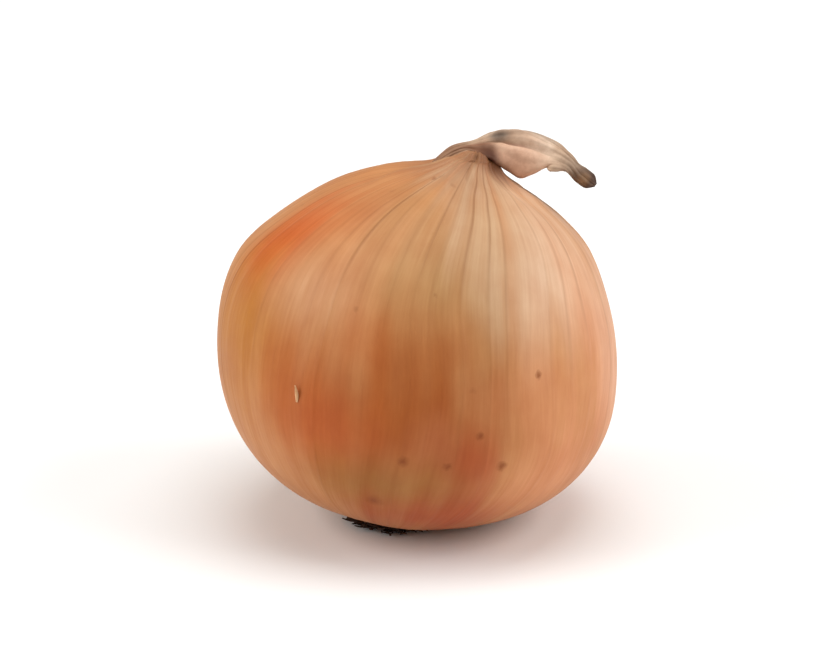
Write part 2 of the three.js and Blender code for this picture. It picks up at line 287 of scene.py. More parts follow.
def pleats(angle, gathered):
    """Broad folds as two waves round the neck, turned as they rise, and small sharp folds
    as three cusped waves, where the sine's absolute value makes the creases. The sharp
    ones close up towards the crown."""
    turned = angle + NECK_TWIST * gathered
    broad = 0.55 * np.cos(8 * turned + 0.6)
    broad = broad + 0.45 * np.cos(13 * turned + 2.1 + 0.5 * np.sin(turned))
    sharp = sum(
        share * (1 - 2 * np.abs(np.sin(folds / 2 * turned + phase)))
        for folds, phase, share in ((17, 0.4, 0.5), (26, 1.9, 0.32), (37, 0.8, 0.18))
    )
    sharpness = SHARP_DEPTH * gathered**1.5 * (0.4 + 0.6 * soft_step(3, 7, row_radius[:, None]))
    return PLEAT_DEPTH * gathered * broad + sharpness * sharp


def neck_lip(angle):
    """A collar at the neck's edge, as a bell curve over the radius: it stands up to a
    point at the front, as another bell curve round, and sinks behind, with a worn rim."""
    from_front = (angle + 2.5 * math.pi) % (2 * math.pi) - math.pi
    point = LIP_HEIGHT * np.exp(-((from_front / 1.15) ** 2)) - LIP_DROP
    worn = 0.07 * np.sin(5 * angle + 1) + 0.03 * np.sin(11 * angle + 2)
    bell = np.exp(-(((row_radius - NECK_RADIUS + 0.2) / LIP_WIDTH) ** 2))
    at_top = soft_step(NECK_TOP - 3, NECK_TOP - 0.6, row_height)
    return (bell * at_top)[:, None] * (point + worn)


def centre_line(height):
    """A bow to the left above the widest ring and to the right below it, and a shift of
    the neck that grows with the square of the height."""
    share = np.maximum(0, (height - NECK_SHIFT_FROM) / (NECK_TOP - NECK_SHIFT_FROM)) ** 2
    bow = -BOW * np.sin(math.pi * height / BULB_DEPTH)
    return np.stack([bow + NECK_SHIFT[0] * share, NECK_SHIFT[1] * share], -1)


# %% The bulb's surface in its own frame
def bulb_surface():
    """For each row and column: the outline's radius, changed by lopsidedness and pleats,
    moved along the outline's normal by the relief, and shifted by the centre line. The
    columns wander by slow sines, so that no vein is straight."""
    height = np.broadcast_to(row_height[:, None], (ROWS, len(turn)))
    wander = 0.02 * np.sin(3 * turn + 0.1 * height) + 0.008 * np.sin(7 * turn - 0.2 * height)
    angle = turn + wander * soft_step(5, 15, row_radius)[:, None]
    gathered = (1 - soft_step(5, 21, row_radius)) * (row_height > 0)
    fold = pleats(angle, gathered[:, None])
    lopsided = 0.006 * np.cos(2 * angle + 0.9) + 0.006 * np.cos(3 * angle - 0.4)
    relief = vein_relief(row_radius) + lumps(angle, height) + hand_shaping(angle, height)
    radius = row_radius[:, None] * (1 + lopsided + fold) + row_normal[:, :1] * relief
    middle = centre_line(row_height)
    return np.stack(
        [
            middle[:, :1] + radius * np.cos(angle),
            middle[:, 1:] + radius * np.sin(angle),
            height + row_normal[:, 1:] * relief + neck_lip(angle),
        ],
        -1,
    )


surface = bulb_surface()
print("bulb grid:", surface.shape, "width in mm:", round(np.ptp(surface[..., 0]), 1))

# %% [markdown]
# ## Lying on the table
# The onion leans back and to the right, and rests on a small pressed flat spot. The lean
# is two turns, and the place is read from the frame: the leaning surface is moved until
# its sides and top are where the solid's are. Pressing it flat needs no simulation, only a
# soft floor: the height is replaced by a curve that follows it above the table and never
# falls below the table.

# %% Lean, place and press
LEAN_BACK = math.radians(8)
LEAN_RIGHT = math.radians(8)
PRESS_SOFTNESS = 0.25


def lean(points):
    """A turn about Y by the lean to the right, then one about X by the lean back."""
    x, y, z = np.moveaxis(points, -1, 0)
    x, z = (x * math.cos(LEAN_RIGHT) + z * math.sin(LEAN_RIGHT),
            z * math.cos(LEAN_RIGHT) - x * math.sin(LEAN_RIGHT))
    y, z = (y * math.cos(LEAN_BACK) + z * math.sin(LEAN_BACK),
            z * math.cos(LEAN_BACK) - y * math.sin(LEAN_BACK))
    return np.stack([x, y, z], -1)


bulb_low, bulb_high = (np.array(corner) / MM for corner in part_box("bulb"))
leaning = lean(surface).reshape(-1, 3)
centre = (bulb_low + bulb_high - leaning.min(0) - leaning.max(0)) / 2
centre[2] = bulb_high[2] - leaning[:, 2].max()
print("bulb centre in mm:", centre.round(2))


def on_table(points, floor=0.0):
    """Leaning and placed points, pressed so that none is lower than the floor height."""
    placed = lean(points) + centre
    above = placed[..., 2] - floor
    placed[..., 2] = floor + (above + np.sqrt(above**2 + PRESS_SOFTNESS**2)) / 2
    return placed


# %% [markdown]
# ## From grids to meshes
# A grid becomes a mesh by joining each point to its neighbours in the next row and column.
# A form that closes round an axis also gets a fan of triangles at each pole, and a sheet
# is closed by giving it a second face and a border. Adding faces one by one would be slow,
# so the corner numbers of all faces are worked out at once.

# %% Faces of a grid
def grid_faces(rows, columns, closed, start=0):
    """Quads between neighbouring rows and columns, wound anticlockwise seen from the side
    that rows x columns points to. closed joins the last column to the first."""
    i = np.arange(rows - 1)[:, None]
    j = np.arange(columns if closed else columns - 1)[None, :]
    a = start + i * columns + j
    b = start + i * columns + (j + 1) % columns
    quads = np.stack([a, b, b + columns, a + columns], -1).reshape(-1, 4)
    return quads


def closed_round(points):
    """Vertices and faces of a grid that goes round an axis: its rings, with the first and
    last ring drawn together to one point each."""
    rows, columns = points.shape[:2]
    bottom, top = points[0].mean(0), points[-1].mean(0)
    vertices = np.vstack([points[1:-1].reshape(-1, 3), bottom, top])
    j = np.arange(columns)
    k = (j + 1) % columns
    last = (rows - 3) * columns
    pole = (rows - 2) * columns
    fans = [np.stack([np.full(columns, pole), k, j], -1),
            np.stack([np.full(columns, pole + 1), last + j, last + k], -1)]
    faces = grid_faces(rows - 2, columns, True).tolist() + np.vstack(fans).tolist()
    return vertices, faces


def make_piece(name, vertices, faces):
    """A smooth-shaded mesh object at the origin, from millimetres."""
    mesh = bpy.data.meshes.new(name)
    mesh.from_pydata(np.asarray(vertices) * MM, [], faces)
    mesh.shade_smooth()
    piece = bpy.data.objects.new(name, mesh)
    bpy.context.scene.collection.objects.link(piece)
    print(name, "vertices:", len(mesh.vertices), "faces:", len(mesh.polygons))
    return piece


def give_numbers(piece, name, values):
    """Stores a number, or three, for each vertex, for the material to read."""
    values = np.asarray(values, np.float32)
    kind, field = ("FLOAT", "value") if values.ndim == 1 else ("FLOAT_VECTOR", "vector")
    layer = piece.data.attributes.new(name, kind, "POINT")
    layer.data.foreach_set(field, values.ravel())


# %% The bulb's mesh
bulb_vertices, bulb_faces = closed_round(on_table(surface))
bulb = make_piece("onion_bulb", bulb_vertices, bulb_faces)


def per_bulb_vertex(values):
    """Grid values in the order of the bulb's vertices: the rings, then the two poles."""
    values = np.broadcast_to(values, (ROWS, len(turn)) + np.shape(values)[2:])
    rings = values[1:-1].reshape((-1,) + values.shape[2:])
    return np.concatenate([rings, values[:1, 0], values[-1:, 0]])


# %% [markdown]
# ## Colours of the skin
# Dry onion skin isn't one colour. Where light fell on it, or one layer has worn away, it
# is flushed orange, straw, olive or rose. A noise could scatter such colours, but not put
# each where it belongs, so each patch is a soft spot on the bulb, given by its place round
# the axis and its height, a size and a colour. Its border is streaked, because the skin's
# fibres run up and down. On the side seen in the photograph the patches are set by hand,
# and were tuned by measuring the photograph's colours against the render's. The rest get
# the same kinds of patch by seeded draws.
# In view, some patches are partly painted light: the cream on the upper right is partly a
# painted highlight, and the deep orange-brown low in front and the darker olive and red-brown
# along the bottom are partly painted shade. The umber spot in the crease under the leaf's hem is
# a painted shadow.

# %% Colours from hex
def linear(hex_colour):
    """An sRGB hex value as linear red, green and blue: each share to the power 2.4 after
    the sRGB offset, or divided by 12.92 where it is very dark."""
    shares = np.array([int(hex_colour[k:k + 2], 16) / 255 for k in (1, 3, 5)])
    return np.where(shares <= 0.04045, shares / 12.92, ((shares + 0.055) / 1.055) ** 2.4)


SKIN = linear("#C68B59")
FLUSH = linear("#C8612A")
STRAW = linear("#B4721E")
OLIVE = linear("#AE8656")
CREAM = linear("#DABDA1")
SALMON = linear("#DA956C")
RUST = linear("#A8571A")
BRICK = linear("#A43C0A")
UMBER = linear("#6B3A1E")
# A darker olive for the bottom: partly the skin's colour, partly painted shade.
MOSS_AND_SHADE = linear("#8F6420")

# Gathered skin lies in several layers at the neck, so it is darker and duller there.
NECK_TAN = linear("#A67453")
NECK_SHARE = 0.8

# Each patch: angle round the axis in degrees, height in mm, half width and half height in
# mm, colour, strength. An angle of -90 faces the camera and 180 is on its left.
SEEN_PATCHES = [
    (-153, 20, 9, 9, FLUSH, 0.95),
    (-142, 27, 8, 5, FLUSH, 0.3),
    (-163, 3, 25, 16, STRAW, 0.95),
    (-124, -4, 10, 12, FLUSH, 0.4),
    (-125, 17, 11, 8, CREAM, 0.15),
    (-119, 31, 12, 5, UMBER, 0.14),
    (-86, 23, 13, 15, OLIVE, 0.85),
    (-72, 7, 8, 12, OLIVE, 0.45),
    (-86, 9, 12, 8, RUST, 0.5),
    # Cream on the upper right: partly the skin's paler colour, partly a painted highlight.
    (-43, 25, 17, 15, CREAM, 0.82),
    (-66, 24, 7, 14, OLIVE, 0.4),
    (-78, 36.5, 5, 5, UMBER, 0.13),
    # More of the same cream, partly a painted highlight.
    (-40, 27, 8, 7, CREAM, 0.3),
    (-28, 20, 9, 12, SALMON, 0.3),
    (-14, 4, 14, 18, SALMON, 0.7),
    (-14, 17, 9, 20, CREAM, 0.35),
    (-50, 2, 9, 9, SALMON, 0.35),
    # Deep orange-brown low in front: partly the skin's own colour, partly painted shade.
    (-98, -6, 25, 14, RUST, 0.94),
    (-112, -8, 10, 9, FLUSH, 0.4),
    (-108, 9, 6, 7, FLUSH, 0.2),
    (-85, -8, 5, 6, SALMON, 0.2),
    (-72, -11.5, 5, 9, BRICK, 0.6),
    (-69, 2, 7, 5, BRICK, 0.25),
    # Darker olive low on the left: partly painted shade along the bottom.
    (-97, -18.5, 15, 7, MOSS_AND_SHADE, 0.58),
    (-42, -16, 14, 12, SALMON, 0.6),
    # Red-brown along the bottom: partly the skin's colour, partly painted shade.
    (-77, -24, 15, 6, BRICK, 0.75),
    (-90, 40.2, 5, 1.4, UMBER, 0.45),
    # A painted shadow: the dark crease under the leaf's rolled hem, beside the neck.
    (-36, 39.0, 3.6, 2.8, UMBER, 1.0),
]
HIDDEN_PATCHES = 14


# %% Patches painted on the bulb
def patch_masks(patches):
    """For each patch, 1 in its middle and 0 outside, by the distance on the surface as a
    share of its half sizes. Streaks of the angle alone make its border ragged."""
    angle, height = turn[None, :], row_height[:, None]
    ragged = 0.09 * np.sin(23 * angle + 1) + 0.07 * np.sin(41 * angle + 2)
    ragged = ragged + 0.12 * np.sin(9 * angle + 0.16 * height)
    for middle, level, half_width, half_height, colour, strength in patches:
        apart = (angle - math.radians(middle) + math.pi) % (2 * math.pi) - math.pi
        across = apart * np.maximum(row_radius, 4)[:, None] / half_width
        along = (height - level) / half_height
        distance = np.hypot(across, along) + ragged
        yield strength * (1 - soft_step(0.1, 1.5, distance)), colour


def hidden_patches():
    """Patches of the same kinds on the far side, from 15 to 165 degrees round."""
    draws = seeded_draws(91, HIDDEN_PATCHES * 4).reshape(-1, 4)
    kinds = [FLUSH, STRAW, OLIVE, CREAM, SALMON, RUST, OLIVE]
    return [
        (15 + 150 * a, -24 + 50 * b, 8 + 12 * c, 9 + 10 * d, kinds[k % len(kinds)], 0.5)
        for k, (a, b, c, d) in enumerate(draws)
    ]


gathered_share = soft_step(0.1, 0.9, (1 - soft_step(3, 20, row_radius)) * (row_height > 0))
tint = np.broadcast_to(SKIN, (ROWS, len(turn), 3)).copy()
tint += NECK_SHARE * gathered_share[:, None, None] * (NECK_TAN - tint)
for mask, colour in patch_masks(SEEN_PATCHES + hidden_patches()):
    tint += mask[..., None] * (colour - tint)
give_numbers(bulb, "tint", per_bulb_vertex(tint))

# %% [markdown]
# ## What the skin's fibres need
# The material draws veins and fibres along the skin. It reads, for each vertex, how close
# the nearest vein is, how much that vein shows there, and a place on a tube that is
# squashed in height. A noise taken there looks like long streaks on the bulb, and closes
# on itself without a seam.

# %% Numbers for veins and fibres
TUBE_STRETCH = 400  # mm of height that count as one radius of the tube

vein_line = np.broadcast_to(1 - 2 * off_vein, (ROWS, len(turn)))
end_height = vein_end[nearest_vein]
fade = 0.12 + 0.88 * soft_step(end_height, end_height + 22, row_height[:, None])
vein_show = vein_strength[nearest_vein] * fade
fibre = np.stack(
    [
        np.broadcast_to(np.cos(turn), vein_line.shape),
        np.broadcast_to(np.sin(turn), vein_line.shape),
        np.broadcast_to(row_height[:, None] / TUBE_STRETCH, vein_line.shape),
    ],
    -1,
)
give_numbers(bulb, "vein_line", per_bulb_vertex(vein_line))
give_numbers(bulb, "vein_show", per_bulb_vertex(vein_show))
give_numbers(bulb, "fibre", per_bulb_vertex(fibre))

# %% [markdown]
# ## A loose flake
# Low on the left a sliver of the thin skin has split off and stands away from the bulb. It
# could be cut out of the bulb's mesh, but a strip of its own leaves that grid whole. It is
# narrow and pointed, and its free end bends outwards.

# %% The flake's surface
FLAKE_PLACE = (-123, -4.5)  # degrees round, and height in mm
FLAKE_LENGTH = 3.4
FLAKE_HALF_WIDTH = 0.36
FLAKE_LIFT = 0.8
FLAKE_HALF_THICKNESS = 0.05


def flake_surface(rows=24, columns=9):
    """A strip up the skin from its root: lifted off it by the square of the way along, and
    narrowed by a sine, so that it comes to a point."""
    column = np.argmin(np.abs(turn - math.radians(FLAKE_PLACE[0] % 360)))
    row = np.argmin(np.abs(row_height - FLAKE_PLACE[1]))
    root, upper = surface[row, column], surface[row + 1, column]
    upwards = unit(upper - root)
    sideways = unit(surface[row, column + 1] - root)
    outwards = np.cross(sideways, upwards)
    u = np.linspace(0, 1, rows)[:, None, None]
    t = np.linspace(-1, 1, columns)[None, :, None]
    width = FLAKE_HALF_WIDTH * np.sin(np.pi * (0.12 + 0.86 * u)) + 0.03
    lift = 0.1 + FLAKE_LIFT * u**2 + 0.15 * (1 - t**2)
    return root + FLAKE_LENGTH * u * upwards + lift * outwards + width * t * sideways


# %% [markdown]
# ## The withered leaf
# The leaf is a thin strap that comes out of the neck, arches over and droops to a
# shrivelled tip. Simulated cloth would crumple too, but by chance, and this leaf has its
# bends in known places. So three rails carry it: the near edge, the ridge and the far
# edge. Between them the section is close to a parabola, with long creases, ruffled edges
# and, over the near shoulder, a hem that has rolled under and hangs in a lobe. Past it the
# strap curls up into the tip. A second face and a border make it a closed sheet.

# %% The leaf's rails and sizes
LEAF_NEAR_EDGE = [
    (-0.6, 0.6, 38.1), (3.2, 0.1, 40.6), (7.2, -1.6, 41.6),
    (10.4, -3.6, 40.4), (13.4, -4.6, 38.8), (17.0, -4.7, 38.8),
    (20.6, -3.7, 39.6), (24.2, -2.6, 38.7), (28.4, -1.4, 37.2),
]
LEAF_RIDGE = [
    (-2.0, 2.6, 36.8), (1.2, 2.5, 40.1), (5.2, 2.2, 41.9),
    (9.6, 1.7, 44.5), (14.4, 1.2, 45.5), (19.2, 0.6, 44.3),
    (23.4, 0.1, 42.0), (26.6, -0.3, 39.2), (28.9, -0.6, 37.5),
]
LEAF_FAR_EDGE = [
    (1.6, 7.4, 35.6), (4.8, 7.6, 38.2), (8.6, 7.2, 39.4),
    (12.8, 6.4, 39.8), (16.8, 5.4, 40.0), (20.6, 4.1, 40.0),
    (23.8, 2.7, 39.2), (26.4, 1.2, 38.0), (28.6, 0.3, 37.2),
]
LEAF_ROWS = 240
HEM_COLUMNS = 34
LEAF_COLUMNS = 96
LEAF_CREASE = 0.35
LEAF_RUFFLE = 0.45
NECK_TUCK = (0.9, 1.7)
LEAF_HALF_THICKNESS = 0.18
HEM_FROM = -0.58
HEM_FLATNESS = 0.7
HEM_TURN = math.radians(215)
CURL_FROM = 0.78
CURL_RADIUS = 1.35
CURL_TURN = math.radians(205)


# %% The leaf's middle surface
def leaf_strap(along, across):
    """The ridge, plus across x half the step from edge to edge, plus the edges' sag below
    the ridge x |across| to the power 1.7. Creases are a cosine across and ruffles a sine
    along the edges. across is -1 at the near edge and 1 at the far one. Where the leaf
    comes out of the neck, both its edges are tucked down into the skin."""
    near, ridge, far = (
        curve_through(rail, along)[:, None, :]
        for rail in (LEAF_NEAR_EDGE, LEAF_RIDGE, LEAF_FAR_EDGE)
    )
    u, t = along[:, None], across[None, :]
    sag = (far + near) / 2 - ridge
    points = ridge + (far - near) / 2 * t[..., None] + sag * np.abs(t[..., None]) ** 1.7
    edge = soft_step(0.45, 1, np.abs(t))
    middle = np.sin(np.pi * u)
    points[..., 2] += LEAF_CREASE * middle * np.cos(11 * t + 5 * u)
    points[..., 2] += LEAF_RUFFLE * edge * middle * np.sin(26 * u + 2 * np.sign(t))
    points[..., 2] -= NECK_TUCK[0] * (1 - soft_step(0.12, 0.3, u)) * soft_step(0, 1, -t)
    points[..., 2] -= NECK_TUCK[1] * (1 - soft_step(0.02, 0.26, u)) * soft_step(0.5, 1, t)
    return points


def sheet_normal(points):
    """The outward direction of a sheet: the cross product of its steps across and along."""
    return unit(np.cross(np.gradient(points, axis=0), np.gradient(points, axis=1)))


def crinkles(along, across):
    """Small folds of a dry sheet: fine ribs along it, and waves at a slant."""
    u, t = along[:, None], across[None, :]
    ribs = 0.07 * np.cos(34 * t + 2 * np.sin(6 * u))
    slant = 0.09 * np.sin(21 * u + 6 * t + 1.5 * np.sin(9 * t + 4 * u))
    fine = 0.05 * np.sin(47 * u - 13 * t + 2 * np.sin(17 * u))
    return (ribs + (slant + fine) * np.sin(np.pi * u))[..., None]


# %% The rolled hem and the curled tip
def roll_hem(points, along, across):
    """Where the hem is rolled, the strip beyond HEM_FROM follows a flattened arc: it goes
    on along the strap by radius x sine, and turns under it by flatness x radius x
    (1 - cosine). The radius is two thirds of the strip's width, and more at the lobe. A
    groove, as a bell curve, sets the hem off."""
    rolled = soft_step(0.14, 0.26, along) * (1 - soft_step(0.62, 0.73, along))
    lobe = 0.12 * np.exp(-(((along - 0.6) / 0.09) ** 2))
    start = np.searchsorted(across, HEM_FROM)
    base = points[:, start:start + 1]
    reach = points[:, :1] - base
    radius = np.linalg.norm(reach, axis=-1, keepdims=True)
    radius = radius * (0.67 + lobe + 0.03 * np.sin(37 * along))[:, None, None]
    normal = sheet_normal(points)[:, start:start + 1]
    share = np.clip((HEM_FROM - across) / (1 + HEM_FROM), 0, 1)[None, :, None]
    bend = HEM_TURN * share
    hem = base + radius * (np.sin(bend) * unit(reach)
                           - HEM_FLATNESS * (1 - np.cos(bend)) * normal)
    mix = rolled[:, None, None] * (share > 0)
    groove = -0.6 * np.exp(-(((across - HEM_FROM - 0.08) / 0.07) ** 2))
    dip = (rolled[:, None] * groove)[..., None] * sheet_normal(points)
    return points + mix * (hem - points) + dip


def curl_tip(points, along, across):
    """Towards the tip the section turns into a ring round the strap's middle line. Its
    radius swells a little, closes at the end, and winds in slightly, as a spiral does."""
    curled = soft_step(CURL_FROM, CURL_FROM + 0.09, along)[:, None, None]
    middle = points.mean(1, keepdims=True)
    forward = unit(np.gradient(middle, axis=0))
    side = unit(np.cross(forward, [0.0, 0.0, 1.0]))
    above = np.cross(side, forward)
    past = np.clip((along - CURL_FROM) / (1 - CURL_FROM), 0, 1)
    radius = CURL_RADIUS * (0.85 + 0.15 * np.sin(np.pi * past))
    radius = (radius * np.sqrt(1 - 0.96 * soft_step(0.72, 1, past)))[:, None, None]
    radius = radius * (1 - 0.14 * across)[None, :, None]
    turns = (CURL_TURN * across)[None, :, None]
    ring = middle + radius * (np.cos(turns) * above - np.sin(turns) * side)
    return points + curled * (ring - points)


leaf_along = np.linspace(0, 1, LEAF_ROWS)
leaf_across = np.append(np.linspace(-1, HEM_FROM, HEM_COLUMNS),
                        np.linspace(HEM_FROM, 1, LEAF_COLUMNS)[1:])
leaf_middle = leaf_strap(leaf_along, leaf_across)
leaf_middle = roll_hem(leaf_middle, leaf_along, leaf_across)
leaf_middle = curl_tip(leaf_middle, leaf_along, leaf_across)
leaf_middle += crinkles(leaf_along, leaf_across) * sheet_normal(leaf_middle)
ridge_steps = np.diff(leaf_middle.mean(1), axis=0)
print("leaf length in mm:", np.linalg.norm(ridge_steps, axis=1).sum().round(1))


# %% The leaf's mesh
def closed_sheet(middle, half_thickness):
    """Two copies of a sheet, half a thickness to either side, and quads along the border."""
    rows, columns = middle.shape[:2]
    offset = half_thickness * sheet_normal(middle)
    outer, inner = middle + offset, middle - offset
    count = rows * columns
    front = grid_faces(rows, columns, False)[:, ::-1]
    back = grid_faces(rows, columns, False, start=count)
    grid = np.arange(count).reshape(rows, columns)
    border = np.concatenate([grid[0, :-1], grid[:-1, -1], grid[-1, :0:-1], grid[:0:-1, 0]])
    after = np.roll(border, -1)
    sides = np.stack([border, after, after + count, border + count], -1)
    vertices = np.vstack([outer.reshape(-1, 3), inner.reshape(-1, 3)])
    return vertices, np.vstack([front, back, sides]).tolist()


leaf_vertices, leaf_faces = closed_sheet(lean(leaf_middle) + centre, LEAF_HALF_THICKNESS)
leaf = make_piece("withered_leaf_strap", leaf_vertices, leaf_faces)
flake_middle = lean(flake_surface()) + centre
flake_vertices, flake_faces = closed_sheet(flake_middle, FLAKE_HALF_THICKNESS)
flake = make_piece("skin_flake", flake_vertices, flake_faces)
leaf_place = np.stack(np.broadcast_arrays(leaf_along[:, None], leaf_across[None, :], 0.0), -1)
give_numbers(leaf, "place", np.tile(leaf_place.reshape(-1, 3), (2, 1)))

# %% [markdown]
# ## Colours of the leaf
# The leaf has bleached to grey tan along its ridge, is pinkish on the rolled hem, and dark
# brown at the tip. The fold between the neck and the hem is dark brown, partly the leaf's
# colour and partly painted shade, and the groove above the hem is a painted shadow line.
# The hem's lobe is painted paler than it is, to make up for the shade it lies in. It is
# painted with soft patches as the bulb is, but here a patch is placed along and across
# the strap, so that it bends with it.

# %% The leaf's colours
# Each patch: along and across the leaf, half sizes along and across, colour, strength.
BLEACHED = linear("#C6A88C")
LEAF_PATCHES = [
    (0.04, 0.0, 0.2, 3.0, linear("#9C7353"), 0.85),
    (0.46, 0.2, 0.3, 0.6, linear("#B8A797"), 0.8),
    (0.6, -0.45, 0.2, 0.35, linear("#E2C7B0"), 0.85),
    (0.76, -0.5, 0.14, 0.8, linear("#D9BEA2"), 0.6),
    # The hem's lobe: pinkish, and painted paler than its own colour to make up for the shade it
    # lies in.
    (0.48, -0.7, 0.24, 0.22, linear("#E0B498"), 0.9),
    (0.58, -0.85, 0.1, 0.15, linear("#D2A186"), 0.7),
    # A painted shadow line in the groove above the rolled hem.
    (0.43, -0.5, 0.16, 0.06, linear("#9A6A52"), 0.6),
    (0.38, -0.32, 0.07, 0.17, linear("#6A5C50"), 0.9),
    # The fold between the neck and the hem: dark brown, partly the leaf's colour and partly
    # painted shade.
    (0.24, -0.65, 0.13, 0.35, linear("#8C5838"), 0.8),
    (0.31, -0.84, 0.1, 0.26, linear("#5A2810"), 0.95),
    (0.43, -0.86, 0.09, 0.17, linear("#8A5638"), 0.8),
    (1.0, 0.0, 0.29, 9.0, linear("#4A2E1C"), 1.0),
    (0.9, -0.5, 0.05, 0.35, linear("#A07C58"), 0.7),
]

leaf_tint = np.broadcast_to(BLEACHED, leaf_middle.shape).copy()
for u, t, half_along, half_across, colour, strength in LEAF_PATCHES:
    distance = np.hypot((leaf_place[..., 0] - u) / half_along,
                        (leaf_place[..., 1] - t) / half_across)
    leaf_tint += (strength * (1 - soft_step(0.2, 1.2, distance)))[..., None] * (
        colour - leaf_tint)
give_numbers(leaf, "tint", np.tile(leaf_tint.reshape(-1, 3), (2, 1)))

# %% [markdown]
# ## The root plate
# Under the bulb sits the stem's corky disc. It is a low dome with a bumpy face, turned
# round the axis like the bulb. The dry rootlets grow out of it, creep along the bulb's
# underside and curl. A particle system could grow them, but its hairs are no closed mesh.
# Here all are made at once: one array holds every point of every rootlet's line, and a
# small ring is set round each point.

# %% Sizes of the root plate
PLATE_RADIUS = 5.7
PLATE_SWELL = 1.1
FIT_GAP = 0.3
ROOTLET_COUNT = 360
ROOTLET_LENGTH = 5.8
ROOTLET_RADIUS = 0.36
FREE_SIDE = math.radians(-112)
ROOTLET_STEPS = 16
ROOTLET_SIDES = 5
TABLE_GAP = 0.12


# %% The corky disc
def disc_surface(rows=34, columns=90):
    """A closed outline turned round the axis, with bumps as products of sines."""
    floor = RIM[1] + SOCKET_DEPTH - FIT_GAP
    profile = curve_through(
        [
            (0, RIM[1] - PLATE_SWELL),
            (PLATE_RADIUS * 0.5, RIM[1] - PLATE_SWELL * 0.85),
            (PLATE_RADIUS * 0.92, RIM[1] - PLATE_SWELL * 0.25),
            (PLATE_RADIUS, RIM[1] + 0.25),
            (PLATE_RADIUS * 0.9, floor - 0.75),
            (PLATE_RADIUS * 0.72, floor - 0.2),
            (0, floor),
        ],
        np.linspace(0, 1, rows),
    )
    angle = np.linspace(0, 2 * np.pi, columns, endpoint=False)[None, :]
    radius, height = profile[:, :1], profile[:, 1:]
    bumps = np.sin(2.6 * radius + 3 * np.sin(5 * angle)) * np.sin(11 * angle + 2 * radius)
    edge = soft_step(0, 1.5, radius)
    wide = radius * (1 + 0.05 * edge * np.sin(7 * angle + 1) + 0.03 * np.sin(17 * angle))
    return np.stack([wide * np.cos(angle), wide * np.sin(angle),
                     height + 0.22 * edge * bumps], -1)


disc_vertices, disc_faces = closed_round(on_table(disc_surface(), TABLE_GAP))


# %% The rootlets' lines
def rootlet_lines():
    """One row of points for each rootlet. The starts are spread over the disc by the golden
    angle. Each rootlet runs outwards at a gap below the bulb's own outline, is longest
    towards the free side, and sways by a sine that grows along it."""
    draws = seeded_draws(57, ROOTLET_COUNT * 6).reshape(6, ROOTLET_COUNT, 1)
    number = np.arange(ROOTLET_COUNT)[:, None]
    angle = number * math.pi * (3 - math.sqrt(5))
    ring = PLATE_RADIUS * (0.25 + 0.7 * np.sqrt((number + 0.5) / ROOTLET_COUNT))
    away = 0.5 + 0.5 * np.cos(angle - FREE_SIDE)
    length = ROOTLET_LENGTH * (0.15 + 0.85 * away) * (0.5 + 0.6 * draws[0])
    t = np.linspace(0, 1, ROOTLET_STEPS)[None, :]
    heading = angle + 1.1 * (draws[1] - 0.5)
    sway = (0.3 + 1.2 * draws[2]) * t**1.5 * np.sin(2 * np.pi * (draws[3] + 1.2 * t))
    x = ring * np.cos(angle) + length * t * np.cos(heading) - sway * np.sin(heading)
    y = ring * np.sin(angle) + length * t * np.sin(heading) + sway * np.cos(heading)
    reach = np.hypot(x, y)
    under = -BULB_DEPTH * (1 - (reach / BULB_RADIUS) ** ROUNDNESS) ** (1 / ROUNDNESS)
    droop = (0.2 + 1.1 * draws[5] * away) * t + 0.2 * np.sin(7 * t + 6 * draws[1])
    gap = 0.4 + 1.1 * draws[4] * (1 - t) + droop
    return np.stack([x, y, under - gap], -1)


# %% Tubes round the lines
def tubes(lines, radius, sides):
    """A ring of points round every point of every line, square to the line, and a point at
    each end. radius shrinks along the line."""
    count, steps = lines.shape[:2]
    along = unit(np.gradient(lines, axis=1))
    across = unit(np.cross(along, np.array([0.05, 0.1, 1.0])))
    other = np.cross(along, across)
    turns = np.linspace(0, 2 * np.pi, sides, endpoint=False)
    size = radius * (1 - 0.7 * np.linspace(0, 1, steps))[None, :, None, None]
    rings = lines[:, :, None] + size * (
        np.cos(turns)[:, None] * across[:, :, None] + np.sin(turns)[:, None] * other[:, :, None])
    ring_points = rings.reshape(-1, 3)
    block = steps * sides
    starts = (np.arange(count) * block)[:, None, None]
    quads = (grid_faces(steps, sides, True)[None, :, ::-1] + starts).reshape(-1, 4)
    j = np.arange(sides)
    k = (j + 1) % sides
    first, last = count * block + np.arange(count), count * (block + 1) + np.arange(count)
    near_fan = np.stack(np.broadcast_arrays(
        first[:, None], starts[:, 0] + j, starts[:, 0] + k), -1).reshape(-1, 3)
    far_fan = np.stack(np.broadcast_arrays(
        last[:, None], starts[:, 0] + block - sides + k, starts[:, 0] + block - sides + j),
        -1).reshape(-1, 3)
    vertices = np.vstack([ring_points, lines[:, 0], lines[:, -1]])
    return vertices, quads.tolist() + near_fan.tolist() + far_fan.tolist()


root_vertices, root_faces = tubes(rootlet_lines(), ROOTLET_RADIUS, ROOTLET_SIDES)
root_vertices = on_table(root_vertices, TABLE_GAP)
disc = make_piece("root_disc", disc_vertices, disc_faces)
rootlets = make_piece("rootlets", root_vertices, root_faces)

# %% [markdown]
# ## Materials
# One small function adds a node with its settings and links, and the rest of each material
# is a list of such nodes. Nothing is painted by where the camera is.

# %% Adding nodes
def add_node(material, kind, inputs=(), **settings):
    """A node of a kind. inputs pairs a socket's name or number with a value, or with
    another node's output to link. settings are the node's own properties."""
    node = material.node_tree.nodes.new("ShaderNode" + kind)
    for key, value in settings.items():
        setattr(node, key, value)
    for key, value in dict(inputs).items():
        if isinstance(value, bpy.types.NodeSocket):
            material.node_tree.links.new(value, node.inputs[key])
        else:
            node.inputs[key].default_value = value
    return node


